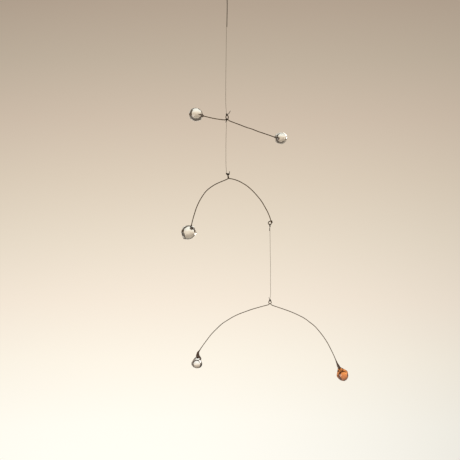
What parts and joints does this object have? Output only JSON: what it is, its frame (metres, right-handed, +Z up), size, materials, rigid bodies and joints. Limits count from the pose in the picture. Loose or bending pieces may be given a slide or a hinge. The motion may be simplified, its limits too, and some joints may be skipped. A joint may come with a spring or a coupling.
{
  "type": "hanging mobile",
  "caption": "Hanging mobile of bent wire arms on threads, one below another, each arm tipped with cut glass beads or drops and hung from a small ring.",
  "frame": {"origin": "point inside the top of the hanging ring, where a hook bears", "axes": "+Z up along the top thread, +X to the right of a viewer in front of the arms, +Y away from that viewer"},
  "size_m": [0.1673, 0.015, 0.4002],
  "materials": {
    "dark_steel_wire": "dark, drawn, with a soft shine",
    "pale_steel_wire": "drawn, with a soft shine",
    "thread": "twisted, matte",
    "clear_glass": "polished flats",
    "amber_glass": "polished flats",
    "brown_cement": "hardened, slightly glossy"
  },
  "bodies": {
    "hanger": {"hanging_ring": "dark_steel_wire", "top_hitch": "thread"},
    "top_line": {"top_thread": "thread", "top_bridle": "thread"},
    "top_tier": {"top_arm": "dark_steel_wire", "top_left_bead": "clear_glass", "top_right_bead": "clear_glass"},
    "middle_hanger": {"middle_hitch": "thread"},
    "middle_line": {"middle_thread": "thread", "middle_bridle": "thread"},
    "middle_tier": {"middle_arm": "dark_steel_wire", "middle_left_bead": "clear_glass"},
    "lower_hanger": {"lower_hitch": "thread"},
    "lower_line": {"lower_thread": "thread", "lower_bridle": "thread"},
    "lower_tier": {"lower_arm": "pale_steel_wire", "lower_left_collar": "brown_cement", "lower_left_drop": "clear_glass", "lower_right_collar": "brown_cement", "lower_right_drop": "amber_glass"}
  },
  "joints": [
    {"name": "top_swivel", "type": "hinge", "parent": "hanger", "child": "top_line", "pos_m": [0, 0, -0.0129], "axis": [0, 0, 1], "continuous": true},
    {"name": "top_rock", "type": "hinge", "parent": "top_line", "child": "top_tier", "pos_m": [0, 0, -0.1335], "axis": [0, 1, 0], "range_deg": [-15, 15]},
    {"name": "middle_hang", "type": "hinge", "parent": "top_tier", "child": "middle_hanger", "pos_m": [0, 0, -0.1379], "axis": [0, 1, 0], "range_deg": [-15, 15]},
    {"name": "middle_swivel", "type": "hinge", "parent": "middle_hanger", "child": "middle_line", "pos_m": [0, 0, -0.1408], "axis": [0, 0, 1], "continuous": true},
    {"name": "middle_rock", "type": "hinge", "parent": "middle_line", "child": "middle_tier", "pos_m": [0, 0, -0.1922], "axis": [0, 1, 0], "range_deg": [-15, 15]},
    {"name": "lower_hang", "type": "hinge", "parent": "middle_tier", "child": "lower_hanger", "pos_m": [0.0434, 0, -0.2426], "axis": [0, 1, 0], "range_deg": [-15, 15]},
    {"name": "lower_swivel", "type": "hinge", "parent": "lower_hanger", "child": "lower_line", "pos_m": [0.0434, 0, -0.24445], "axis": [0, 0, 1], "continuous": true},
    {"name": "lower_rock", "type": "hinge", "parent": "lower_line", "child": "lower_tier", "pos_m": [0.0434, 0, -0.3192], "axis": [0, 1, 0], "range_deg": [-15, 15]}
  ],
  "couplings": [
    {"joint": "middle_hang", "follows": "top_rock", "ratio": -1},
    {"joint": "lower_hang", "follows": "middle_rock", "ratio": -1}
  ]
}
